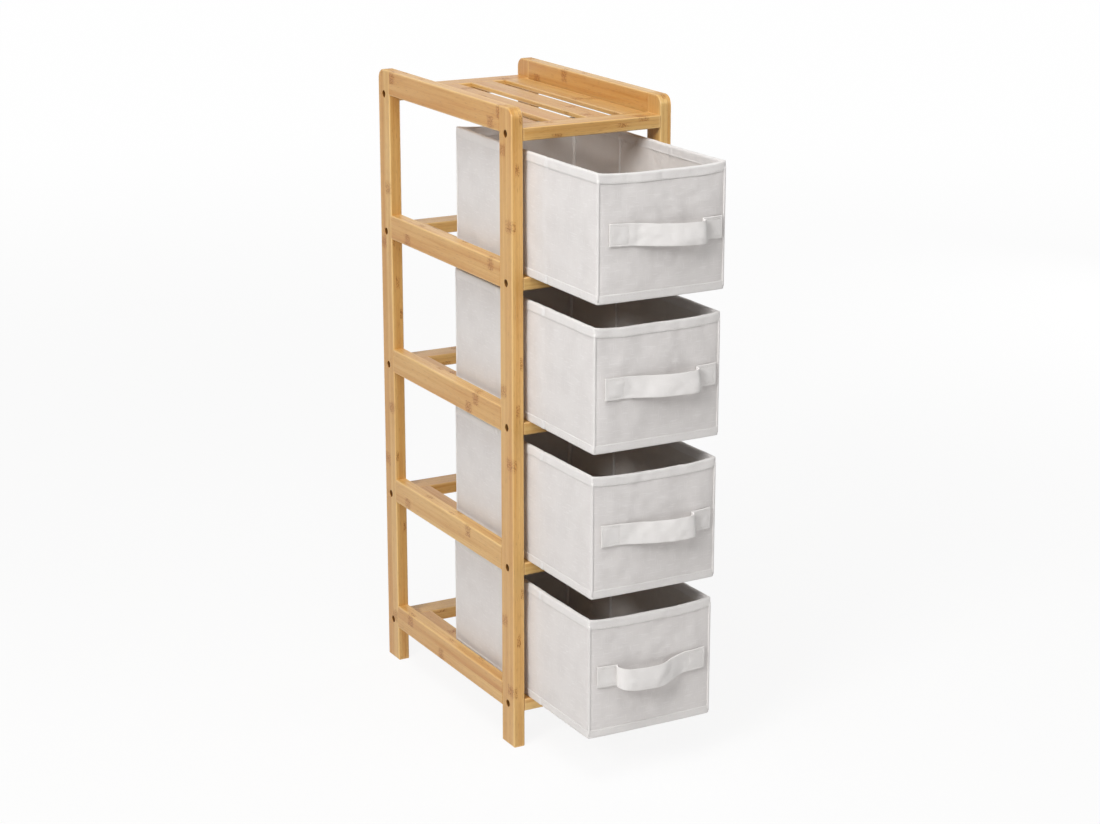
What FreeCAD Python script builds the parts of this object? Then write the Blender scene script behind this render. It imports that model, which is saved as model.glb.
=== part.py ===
import FreeCAD, Part
import math
import os

from FreeCAD import Vector

# Narrow bamboo shelf unit with four fabric drawers on open shelves, all lengths in millimetres.
# +Z is up, +X runs from the left side to the right as seen from the front,
# and the drawers pull out towards -Y. The pieces are drawn about the middle of
# the rack's footprint and moved along Y on export, so that the origin lies on
# the floor under the middle of the unit with its drawers pulled out.

# Driving sizes of the rack
rack_width = 244.0
rack_depth = 410.0
level_count = 5
level_pitch = 201.0
first_bolt_height = 61.0

# Bamboo bar stock: posts, side rails and cross rails are cut from one section
bar_width = 35.0
bar_thickness = 17.5
edge_chamfer = 1.2
post_corner_radius = 14.0

# Glued joints of the side frames
tenon_length = 10.0
tenon_thickness = 8.0
tenon_shoulder = 5.5
glue_gap = 0.1
mortise_end_gap = 0.5

# Shelf slats
top_slat_count = 4
slat_thickness = 6.0
slat_gap = 20.3
slat_side_gap = 4.05
slat_edge_chamfer = 0.8
tongue_length = 6.0
tongue_thickness = 3.0
tongue_shoulder = 6.0

# Bolts that pull the side frames onto the cross rails
bolt_radius = 3.0
bolt_length = 26.0
bolt_hole_clearance = 0.3
bolt_head_radius = 4.7
bolt_head_height = 4.0
counterbore_radius = 5.3
counterbore_depth = 8.0
socket_flat_to_flat = 4.0
socket_depth = 2.2
insert_radius = 4.5
insert_length = 18.0
insert_wall_clearance = 0.1
thread_clearance = 0.05
insert_bore_end_gap = 4.0

# Drawers: how each box fills its bay, and how far each one stands out in front
drawer_side_clearance = 9.5
drawer_headroom = 13.2
drawer_end_inset = 7.5
drawer_lift = 0.3
drawer_pull_outs = (180.0, 173.0, 169.0, 163.0)

# Drawer layers from the outside in
cover_thickness = 1.2
cover_corner_chamfer = 1.4
board_thickness = 2.5
board_fold_gap = 2.0
lining_thickness = 0.8
fold_shares = (1 / 3, 2 / 3)

# Drawer bands and strap handle
binding_thickness = 0.8
binding_height = 13.0
hem_height = 12.0
hem_thickness = 0.5
handle_tab_length = 30.0
handle_loop_length = 108.0
handle_strap_width = 30.0
handle_thickness = 1.8
handle_reach = 17.0
handle_drop_share = 0.5

# Faces round each fastener: the open counterbore shows, the rest is out of sight
counterbore_sides = 24
head_sides = 12
shank_sides = 8
insert_sides = 12

# Overrun of every cut past the face that it opens
overrun = 1.0

# Sizes that follow
top_bolt_height = first_bolt_height + (level_count - 1) * level_pitch
rack_height = top_bolt_height + bar_width
post_inner_y = rack_depth / 2 - bar_width
bolt_line_y = rack_depth / 2 - bar_width / 2
inner_width = rack_width - 2 * bar_thickness
tenon_height = bar_width - 2 * tenon_shoulder
slat_width = (inner_width - 2 * slat_side_gap - (top_slat_count - 1) * slat_gap) / top_slat_count
drawer_width = inner_width - 2 * drawer_side_clearance
drawer_depth = rack_depth - 2 * drawer_end_inset
drawer_height = level_pitch - bar_thickness - drawer_lift - drawer_headroom
panel_top = drawer_height - binding_thickness
wall_thickness = cover_thickness + board_thickness + lining_thickness
unit_reach = max(drawer_pull_outs) + handle_reach
origin_shift = Vector(0, unit_reach / 2, 0)


def bolt_height(level):
    """Height of the bolt line of a level, counted from 0 at the bottom."""
    return first_bolt_height + level * level_pitch


def shelf_height(level):
    """Height of the upper face of a level's cross rails and slats."""
    return bolt_height(level) + bar_thickness / 2


def export(node, shape):
    """Write one node, moved to the unit's own origin."""
    moved = shape.copy()
    moved.translate(origin_shift)
    moved.exportStep("parts/" + node + ".step")


def box(low, high):
    """Box between two opposite corners."""
    size = high - low
    return Part.makeBox(size.x, size.y, size.z, low)


def chamfered_face(low_a, high_a, low_b, high_b, cut, to_point):
    """Face of a rectangle with its corners cut off, in the plane that to_point maps (a, b) into."""
    places = (
        (low_a + cut, low_b), (high_a - cut, low_b), (high_a, low_b + cut), (high_a, high_b - cut),
        (high_a - cut, high_b), (low_a + cut, high_b), (low_a, high_b - cut), (low_a, low_b + cut),
    )
    points = [to_point(a, b) for a, b in places]
    return Part.Face(Part.makePolygon(points + points[:1]))


def bar_along_y(low, high, cut):
    """Straight bar along Y with its four long edges chamfered."""
    face = chamfered_face(low.x, high.x, low.z, high.z, cut, lambda a, b: Vector(a, low.y, b))
    return face.extrude(Vector(0, high.y - low.y, 0))


def bar_along_x(low, high, cut):
    """Straight bar along X with its four long edges chamfered."""
    face = chamfered_face(low.y, high.y, low.z, high.z, cut, lambda a, b: Vector(low.x, a, b))
    return face.extrude(Vector(high.x - low.x, 0, 0))


def upright_block(low, high, cut):
    """Block along Z with its four upright edges chamfered."""
    face = chamfered_face(low.x, high.x, low.y, high.y, cut, lambda a, b: Vector(a, b, low.z))
    return face.extrude(Vector(0, 0, high.z - low.z))


def round_bar(start, run, radius, sides):
    """Round bar or bore along X from start, drawn with a set number of faces."""
    corners = []
    for corner in range(sides + 1):
        angle = 2 * math.pi * corner / sides
        corners.append(start + Vector(0, radius * math.cos(angle), radius * math.sin(angle)))
    return Part.Face(Part.makePolygon(corners)).extrude(Vector(run, 0, 0))


# Side frames


def side_rail_bottom(level):
    """Height of a side rail's lower edge: lower rails start level with the cross rail's underside."""
    if level == level_count - 1:
        return bolt_height(level)
    return bolt_height(level) - bar_thickness / 2


def bar_span_x(side):
    """Lower and upper X of the side frame on the given side, -1 left and 1 right."""
    outer = side * rack_width / 2
    inner = side * (rack_width / 2 - bar_thickness)
    return min(outer, inner), max(outer, inner)


def post(side, end):
    """Upright post with a rounded outer top corner, mortises for the rails and bolt holes."""
    low_x, high_x = bar_span_x(side)
    outer_y = end * rack_depth / 2
    inner_y = end * post_inner_y
    centre_y = outer_y - end * post_corner_radius
    centre_z = rack_height - post_corner_radius
    reach = post_corner_radius * math.sqrt(1 / 2)
    foot_inner = Vector(low_x, inner_y, 0)
    foot_outer = Vector(low_x, outer_y, 0)
    round_start = Vector(low_x, outer_y, centre_z)
    round_middle = Vector(low_x, centre_y + end * reach, centre_z + reach)
    round_end = Vector(low_x, centre_y, rack_height)
    top_inner = Vector(low_x, inner_y, rack_height)
    outline = Part.Wire([
        Part.makeLine(foot_inner, foot_outer),
        Part.makeLine(foot_outer, round_start),
        Part.Arc(round_start, round_middle, round_end).toShape(),
        Part.makeLine(round_end, top_inner),
        Part.makeLine(top_inner, foot_inner),
    ])
    solid = Part.Face(outline).extrude(Vector(high_x - low_x, 0, 0))
    side_edges = [edge for edge in solid.Edges if edge.BoundBox.XLength < bar_thickness / 2]
    solid = solid.makeChamfer(edge_chamfer, side_edges)
    for level in range(level_count):
        solid = solid.cut(rail_mortise(side, end, level))
        solid = solid.cut(bolt_bore(side, end, level))
    return solid


def rail_mortise(side, end, level):
    """Pocket in a post for one side rail's tenon."""
    middle_x = side * (rack_width - bar_thickness) / 2
    half_thickness = tenon_thickness / 2 + glue_gap
    low_z = side_rail_bottom(level) + tenon_shoulder - glue_gap
    high_z = side_rail_bottom(level) + tenon_shoulder + tenon_height + glue_gap
    mouth_y = end * (post_inner_y - overrun)
    floor_y = end * (post_inner_y + tenon_length + mortise_end_gap)
    low = Vector(middle_x - half_thickness, min(mouth_y, floor_y), low_z)
    high = Vector(middle_x + half_thickness, max(mouth_y, floor_y), high_z)
    return box(low, high)


def bolt_bore(side, end, level):
    """Counterbored hole through a post for one bolt."""
    start = Vector(side * (rack_width / 2 + overrun), end * bolt_line_y, bolt_height(level))
    hole_radius = bolt_radius + bolt_hole_clearance
    hole = round_bar(start, -side * (bar_thickness + 2 * overrun), hole_radius, shank_sides)
    head = round_bar(start, -side * (counterbore_depth + overrun), counterbore_radius, counterbore_sides)
    return hole.fuse(head)


def side_rail(side, level):
    """Rail of a side frame with a stub tenon at each end."""
    low_x, high_x = bar_span_x(side)
    low_z = side_rail_bottom(level)
    low = Vector(low_x, -post_inner_y, low_z)
    high = Vector(high_x, post_inner_y, low_z + bar_width)
    solid = bar_along_y(low, high, edge_chamfer)
    middle_x = (low_x + high_x) / 2
    half_reach = post_inner_y + tenon_length
    tenon_low = Vector(middle_x - tenon_thickness / 2, -half_reach, low_z + tenon_shoulder)
    tenon_high = Vector(middle_x + tenon_thickness / 2, half_reach, low_z + tenon_shoulder + tenon_height)
    return solid.fuse(box(tenon_low, tenon_high)).removeSplitter()


# Shelves


def slat_left(index):
    """Left edge of a top slat, counted from 0 at the left."""
    return -inner_width / 2 + slat_side_gap + index * (slat_width + slat_gap)


def slat_indices(level):
    """Slats of a level: all on the top, only the two outer ones below."""
    if level == level_count - 1:
        return range(top_slat_count)
    return (0, top_slat_count - 1)


def tongue_box(index, level, half_reach, gap):
    """Box of a slat's tongues, reaching half_reach to the front and the rear."""
    low_z = shelf_height(level) - slat_thickness / 2 - tongue_thickness / 2
    low = Vector(slat_left(index) + tongue_shoulder - gap, -half_reach, low_z - gap)
    high_x = slat_left(index) + slat_width - tongue_shoulder + gap
    high = Vector(high_x, half_reach, low_z + tongue_thickness + gap)
    return box(low, high)


def slat(index, level):
    """Shelf slat along Y with a tongue at each end."""
    low_z = shelf_height(level) - slat_thickness
    low = Vector(slat_left(index), -post_inner_y, low_z)
    high = Vector(slat_left(index) + slat_width, post_inner_y, low_z + slat_thickness)
    body = bar_along_y(low, high, slat_edge_chamfer)
    tongues = tongue_box(index, level, post_inner_y + tongue_length, 0)
    return body.fuse(tongues).removeSplitter()


def cross_rail(end, level):
    """Cross rail between the side frames, with slat mortises and insert bores in its ends."""
    low_y = min(end * rack_depth / 2, end * post_inner_y)
    low = Vector(-inner_width / 2, low_y, shelf_height(level) - bar_thickness)
    high = Vector(inner_width / 2, low_y + bar_width, shelf_height(level))
    solid = bar_along_x(low, high, edge_chamfer)
    for index in slat_indices(level):
        half_reach = post_inner_y + tongue_length + mortise_end_gap
        solid = solid.cut(tongue_box(index, level, half_reach, glue_gap))
    for side in (-1, 1):
        mouth = Vector(side * (inner_width / 2 + overrun), end * bolt_line_y, bolt_height(level))
        depth = insert_length + insert_bore_end_gap + overrun
        radius = insert_radius + insert_wall_clearance
        solid = solid.cut(round_bar(mouth, -side * depth, radius, insert_sides))
    return solid


# Fasteners


def bolt(side, end, level):
    """Socket-head bolt, its head seated on the counterbore's floor."""
    seat_x = side * (rack_width / 2 - counterbore_depth)
    seat = Vector(seat_x, end * bolt_line_y, bolt_height(level))
    head = round_bar(seat, side * bolt_head_height, bolt_head_radius, head_sides)
    shank = round_bar(seat, -side * bolt_length, bolt_radius, shank_sides)
    socket_floor = seat + Vector(side * (bolt_head_height - socket_depth), 0, 0)
    socket_radius = socket_flat_to_flat / math.sqrt(3)
    socket = round_bar(socket_floor, side * (socket_depth + overrun), socket_radius, 6)
    return head.fuse(shank).cut(socket)


def threaded_insert(side, end, level):
    """Metal insert in the end of a cross rail, flush with the end grain."""
    mouth = Vector(side * inner_width / 2, end * bolt_line_y, bolt_height(level))
    body = round_bar(mouth, -side * insert_length, insert_radius, insert_sides)
    start = mouth + Vector(side * overrun, 0, 0)
    bore_run = -side * (insert_length + 2 * overrun)
    return body.cut(round_bar(start, bore_run, bolt_radius + thread_clearance, shank_sides))


def all_fastenings(make):
    """One group with a copy of the made fastener at every bolted corner."""
    copies = []
    for side in (-1, 1):
        for end in (-1, 1):
            for level in range(level_count):
                copies.append(make(side, end, level))
    return Part.makeCompound(copies)


# Drawers, drawn with the front face of the cover at y = 0 and the underside at z = 0


def drawer_block(inset, low_z, high_z, cut):
    """Upright block that keeps the given inset from the cover's four outer faces."""
    low = Vector(-drawer_width / 2 + inset, inset, low_z)
    high = Vector(drawer_width / 2 - inset, drawer_depth - inset, high_z)
    if cut > 0:
        return upright_block(low, high, cut)
    return box(low, high)


def drawer_cover():
    """Outer fabric: an open box with a folded hem round its foot."""
    skin = drawer_block(0, 0, panel_top, cover_corner_chamfer)
    hem = drawer_block(-hem_thickness, 0, hem_height, cover_corner_chamfer)
    hollow = drawer_block(cover_thickness, cover_thickness, panel_top + overrun, 0)
    return skin.fuse(hem).cut(hollow)


def drawer_boards():
    """Stiff boards between cover and lining: base, ends, and sides parted at the folds."""
    inset = cover_thickness
    base_top = inset + board_thickness
    half_width = drawer_width / 2 - inset
    rear_y = drawer_depth - inset
    front_inner_y = inset + board_thickness
    rear_inner_y = rear_y - board_thickness
    base = drawer_block(inset, inset, base_top, 0)
    front = box(Vector(-half_width, inset, base_top), Vector(half_width, front_inner_y, panel_top))
    rear = box(Vector(-half_width, rear_inner_y, base_top), Vector(half_width, rear_y, panel_top))
    boards = [base, front, rear]
    folds = [share * drawer_depth for share in fold_shares]
    starts = [front_inner_y] + [fold + board_fold_gap / 2 for fold in folds]
    stops = [fold - board_fold_gap / 2 for fold in folds] + [rear_inner_y]
    for side in (-1, 1):
        outer_x = side * half_width
        inner_x = side * (half_width - board_thickness)
        for start, stop in zip(starts, stops):
            low = Vector(min(outer_x, inner_x), start, base_top)
            high = Vector(max(outer_x, inner_x), stop, panel_top)
            boards.append(box(low, high))
    return Part.makeCompound(boards)


def drawer_lining():
    """Inner fabric: an open box that covers the boards."""
    outset = cover_thickness + board_thickness
    outer = drawer_block(outset, outset, panel_top, 0)
    hollow = drawer_block(wall_thickness, wall_thickness, panel_top + overrun, 0)
    return outer.cut(hollow)


def drawer_binding():
    """Band folded over the rim, round all four walls."""
    low_z = drawer_height - binding_height
    outer = drawer_block(-binding_thickness, low_z, drawer_height, cover_corner_chamfer)
    layers = drawer_block(0, low_z - overrun, panel_top, cover_corner_chamfer)
    leg = drawer_block(wall_thickness, low_z - overrun, panel_top + overrun, 0)
    hole = drawer_block(wall_thickness + binding_thickness, low_z - overrun, drawer_height + overrun, 0)
    return outer.cut(layers.cut(leg)).cut(hole)


def drawer_handle():
    """Strap with a tab sewn to the front at each end and a loop that stands out between them."""
    half_loop = handle_loop_length / 2
    half_strap = half_loop + handle_tab_length
    middle_z = drawer_height * (1 - handle_drop_share)
    low_z = middle_z - handle_strap_width / 2

    def at(x, y):
        return Vector(x, -y, low_z)

    outer_arc = Part.Arc(
        at(-half_loop, handle_thickness), at(0, handle_reach), at(half_loop, handle_thickness))
    inner_arc = Part.Arc(
        at(half_loop - handle_thickness, 0),
        at(0, handle_reach - handle_thickness),
        at(handle_thickness - half_loop, 0))
    outline = Part.Wire([
        Part.makeLine(at(-half_strap, 0), at(-half_strap, handle_thickness)),
        Part.makeLine(at(-half_strap, handle_thickness), at(-half_loop, handle_thickness)),
        outer_arc.toShape(),
        Part.makeLine(at(half_loop, handle_thickness), at(half_strap, handle_thickness)),
        Part.makeLine(at(half_strap, handle_thickness), at(half_strap, 0)),
        Part.makeLine(at(half_strap, 0), at(half_loop - handle_thickness, 0)),
        inner_arc.toShape(),
        Part.makeLine(at(handle_thickness - half_loop, 0), at(-half_strap, 0)),
    ])
    return Part.Face(outline).extrude(Vector(0, 0, handle_strap_width))


def drawer_place(number):
    """Where a drawer's own origin lies, counted from 1 at the top."""
    level = level_count - 1 - number
    front_y = -rack_depth / 2 - drawer_pull_outs[number - 1]
    return Vector(0, front_y, shelf_height(level) + drawer_lift)


def export_drawer(number):
    """Write the five nodes of one drawer at its place."""
    pieces = {
        "cover": drawer_cover(),
        "boards": drawer_boards(),
        "lining": drawer_lining(),
        "rim_binding": drawer_binding(),
        "handle": drawer_handle(),
    }
    for name, shape in pieces.items():
        shape.translate(drawer_place(number))
        export("drawer_" + str(number) + "_" + name, shape)


def export_rack():
    """Write the bamboo pieces and the fasteners of the rack."""
    sides = {"left": -1, "right": 1}
    ends = {"front": -1, "rear": 1}
    for side_name, side in sides.items():
        for end_name, end in ends.items():
            export("post_" + end_name + "_" + side_name, post(side, end))
        for level in range(level_count):
            export("side_rail_" + side_name + "_" + str(level + 1), side_rail(side, level))
    for level in range(level_count):
        for end_name, end in ends.items():
            export("cross_rail_" + end_name + "_" + str(level + 1), cross_rail(end, level))
        for index in slat_indices(level):
            export("slat_" + str(level + 1) + "_" + str(index + 1), slat(index, level))
    export("bolts", all_fastenings(bolt))
    export("threaded_inserts", all_fastenings(threaded_insert))


def main():
    """Build every node of the unit."""
    os.makedirs("parts", exist_ok=True)
    export_rack()
    for number in range(1, len(drawer_pull_outs) + 1):
        export_drawer(number)


main()
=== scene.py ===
"""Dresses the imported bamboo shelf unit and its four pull-out fabric drawers (Blender 4.5)."""

import logging
import math
import random
from dataclasses import dataclass
from enum import Enum

import bmesh
import bpy
from mathutils import Matrix, Vector, noise
from mathutils.geometry import interpolate_bezier


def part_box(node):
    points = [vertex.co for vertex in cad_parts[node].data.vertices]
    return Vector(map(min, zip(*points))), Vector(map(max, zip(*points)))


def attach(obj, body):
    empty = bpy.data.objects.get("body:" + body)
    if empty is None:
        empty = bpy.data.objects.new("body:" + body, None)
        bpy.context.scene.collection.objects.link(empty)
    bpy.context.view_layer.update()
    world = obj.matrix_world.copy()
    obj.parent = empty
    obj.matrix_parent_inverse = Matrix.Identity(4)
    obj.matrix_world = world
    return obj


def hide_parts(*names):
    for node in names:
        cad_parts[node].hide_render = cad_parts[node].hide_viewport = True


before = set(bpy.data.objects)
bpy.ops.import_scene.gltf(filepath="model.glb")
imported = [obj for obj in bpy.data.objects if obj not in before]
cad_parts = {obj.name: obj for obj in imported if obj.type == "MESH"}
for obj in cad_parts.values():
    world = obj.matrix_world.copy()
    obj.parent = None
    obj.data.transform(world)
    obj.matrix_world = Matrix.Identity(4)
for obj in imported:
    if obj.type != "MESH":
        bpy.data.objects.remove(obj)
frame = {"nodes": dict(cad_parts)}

LOG = logging.getLogger("shelf_unit")
WEAVE_MAP = "weave"
WEAVE_SIDE, WEAVE_END = 3.0, 7.0
MM = 0.001
QUARTER = math.radians(90)
NO_LENGTH = 1e-6
ACROSS = Vector((1.0, 0.0, 0.0))
BACK = Vector((0.0, 1.0, 0.0))
UP = Vector((0.0, 0.0, 1.0))

Triple = tuple[float, float, float]
Step = tuple[float, float]
Socket = bpy.types.NodeSocket
Value = float | Socket


# Small numeric helpers

def srgb(red: float, green: float, blue: float) -> Triple:
    """Turn a screen colour of 0 to 255 into the linear one that a shader takes.

    Args:
        red: The red value, 0 to 255.
        green: The green value, 0 to 255.
        blue: The blue value, 0 to 255.

    Returns:
        The linear colour, 0 to 1.
    """
    return tuple((c / 255 / 12.92) if c / 255 <= 0.04045 else ((c / 255 + 0.055) / 1.055) ** 2.4
                 for c in (red, green, blue))


def ease(value: float, low: float, high: float) -> float:
    """Rise smoothly from 0 at low to 1 at high.

    Args:
        value: The number to look up.
        low: Where the rise starts.
        high: Where the rise ends; it may be under low, for a fall.

    Returns:
        A share from 0 to 1.
    """
    share = min(1.0, max(0.0, (value - low) / (high - low)))
    return share * share * (3 - 2 * share)


def smooth_line(knots: list[Vector], per_run: int) -> list[Vector]:
    """Run a smooth curve through the knots.

    Args:
        knots: The points that the curve passes.
        per_run: How many points each run between two knots gets.

    Returns:
        The points of the curve, from the first knot to the last.
    """
    line = [knots[0]]
    for index in range(len(knots) - 1):
        before = knots[max(index - 1, 0)]
        start, end = knots[index], knots[index + 1]
        after = knots[min(index + 2, len(knots) - 1)]
        reach = (end - start).length / 3
        leave = (end - before).normalized() * reach
        arrive = (after - start).normalized() * reach
        line += interpolate_bezier(start, start + leave, end - arrive, end, per_run + 1)[1:]
    return line


# Node trees

@dataclass(frozen=True)
class Layer:
    """A layer of noise: its cells in a metre each way, and the values between which it sets in."""

    rates: Triple
    low: float
    high: float
    detail: float = 2.0
    roughness: float = 0.55


@dataclass(frozen=True)
class Darkening:
    """A colour that a finish is multiplied by, and how strongly: for a stain, or for painted shade."""

    strength: float
    shade: Triple


@dataclass(frozen=True)
class Relief:
    """The fine relief of a finish: how strongly it shows, and its depth in metres."""

    strength: float
    depth: float


class NodeSheet:
    """A node tree with short calls for the nodes that the finishes use."""

    def __init__(self, tree: bpy.types.NodeTree) -> None:
        """Keep the tree that the nodes go into."""
        self.tree = tree

    def node(self, kind: str, inputs: dict[int | str, object] | None = None,
             **settings: object) -> bpy.types.Node:
        """Add a node, set its settings and feed its inputs.

        Args:
            kind: The node's type name.
            inputs: A value or another node's output for each input.
            **settings: The node's own settings.

        Returns:
            The new node.
        """
        made = self.tree.nodes.new(kind)
        for name, value in settings.items():
            setattr(made, name, value)
        for name, value in (inputs or {}).items():
            if isinstance(value, Socket):
                self.tree.links.new(value, made.inputs[name])
            else:
                made.inputs[name].default_value = value
        return made

    def math(self, operation: str, first: Value, second: Value = 0.0,
             clamp: bool = False) -> Socket:
        """Work out one step of arithmetic.

        Args:
            operation: What is done.
            first: The first number.
            second: The second number, where the step takes two.
            clamp: Whether the result is held between 0 and 1.

        Returns:
            The result.
        """
        step = self.node("ShaderNodeMath", {0: first, 1: second}, operation=operation,
                         use_clamp=clamp)
        return step.outputs[0]

    def plus(self, first: Value, *others: Value) -> Socket:
        """Add numbers up, from the first to the last.

        Args:
            first: The first number.
            *others: The numbers that are added to it.

        Returns:
            The sum.
        """
        for other in others:
            first = self.math("ADD", first, other)
        return first

    def minus(self, first: Value, second: Value) -> Socket:
        """Take the second number away from the first."""
        return self.math("SUBTRACT", first, second)

    def times(self, first: Value, second: Value) -> Socket:
        """Multiply two numbers."""
        return self.math("MULTIPLY", first, second)

    def unsigned(self, number: Value) -> Socket:
        """Return a number without its sign."""
        return self.math("ABSOLUTE", number)

    def larger(self, first: Value, second: Value) -> Socket:
        """Return the larger one of two numbers."""
        return self.math("MAXIMUM", first, second)

    def distance(self, first: Socket, second: Socket) -> Socket:
        """Return how far a point is from the origin, by its two coordinates."""
        return self.math("SQRT", self.plus(self.times(first, first), self.times(second, second)))

    def from_half(self, count: Socket) -> Socket:
        """Return how far a number's fraction is from a half."""
        return self.unsigned(self.minus(self.math("FRACT", count), 0.5))

    def split(self, vector: Socket) -> list[Socket]:
        """Return the three numbers of a vector."""
        return list(self.node("ShaderNodeSeparateXYZ", {0: vector}).outputs)

    def join(self, x: Value, y: Value, z: Value) -> Socket:
        """Return a vector made of three numbers."""
        return self.node("ShaderNodeCombineXYZ", {0: x, 1: y, 2: z}).outputs[0]

    def stretched(self, parts: tuple, rates: Triple, detail: float = 2.0,
                  roughness: float = 0.55) -> Socket:
        """Make noise with its own rate along each of three directions.

        Args:
            parts: The three coordinates, in metres.
            rates: How many cells fit in a metre along each of them.
            detail: How many finer layers the noise has.
            roughness: How strong the finer layers are.

        Returns:
            The noise, around 0.5.
        """
        place = self.join(*(self.times(part, rate) for part, rate in zip(parts, rates)))
        grit = self.node("ShaderNodeTexNoise", {"Vector": place, "Scale": 1.0, "Detail": detail,
                                                "Roughness": roughness}, noise_dimensions="3D")
        return grit.outputs[0]

    def ramp(self, value: Value, low: float, high: float, start: float = 0.0,
             end: float = 1.0) -> Socket:
        """Map a value smoothly to another range.

        Args:
            value: The number to map.
            low: Where the ramp starts.
            high: Where the ramp ends.
            start: The result at the ramp's start.
            end: The result at its end.

        Returns:
            The result.
        """
        step = self.node("ShaderNodeMapRange", {0: value, 1: low, 2: high, 3: start, 4: end},
                         interpolation_type="SMOOTHSTEP")
        return step.outputs[0]

    def layer(self, parts: tuple, layer: Layer) -> Socket:
        """Return how much of a layer of noise shows at a place, from 0 to 1."""
        grit = self.stretched(parts, layer.rates, layer.detail, layer.roughness)
        return self.ramp(grit, layer.low, layer.high)

    def tint(self, share: Value, under: Triple | Socket, over: Triple | Socket,
             blend: str = "MIX") -> Socket:
        """Lay one colour over another.

        Args:
            share: How much of the upper colour shows.
            under: The colour below.
            over: The colour on top.
            blend: How the two are put together.

        Returns:
            The resulting colour.
        """
        full = [(*c, 1.0) if isinstance(c, tuple) else c for c in (under, over)]
        mix = self.node("ShaderNodeMix", {0: share, 6: full[0], 7: full[1]}, data_type="RGBA",
                        blend_type=blend)
        return mix.outputs[2]

    def darken(self, amount: Socket, colour: Socket, darken: Darkening) -> Socket:
        """Darken a colour by a stain or by painted shade, as much as it lies there."""
        return self.tint(self.times(amount, darken.strength), colour, darken.shade, "MULTIPLY")

    def show(self, colour: Socket, roughness: Socket, height: Socket, relief: Relief,
             extras: dict[str, float] | None = None) -> None:
        """Build the shader that shows a finish.

        Args:
            colour: The base colour.
            roughness: The roughness.
            height: The height of the fine relief.
            relief: How strong and how deep the relief is.
            extras: The shader's other values, by the names of its inputs.
        """
        bump = self.node("ShaderNodeBump", {"Height": height, "Strength": relief.strength,
                                            "Distance": relief.depth})
        shader = self.node("ShaderNodeBsdfPrincipled", {
            "Base Color": colour, "Roughness": roughness, "Normal": bump.outputs[0], **(extras or {})})
        self.node("ShaderNodeOutputMaterial", {"Surface": shader.outputs[0]})


def cleared(owner: bpy.types.Material | bpy.types.World) -> NodeSheet:
    """Empty the node tree of a material or of the surroundings.

    Args:
        owner: The material or the world.

    Returns:
        Its node sheet.
    """
    owner.use_nodes = True
    owner.node_tree.nodes.clear()
    return NodeSheet(owner.node_tree)


class Grain(Enum):
    """Which axis of a bar runs along its grain, across its strips and through its plies."""

    POST = (2, 1, 0)
    SIDE_RAIL = (1, 2, 0)
    CROSS_RAIL = (0, 1, 2)
    SLAT = (1, 0, 2)


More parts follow.
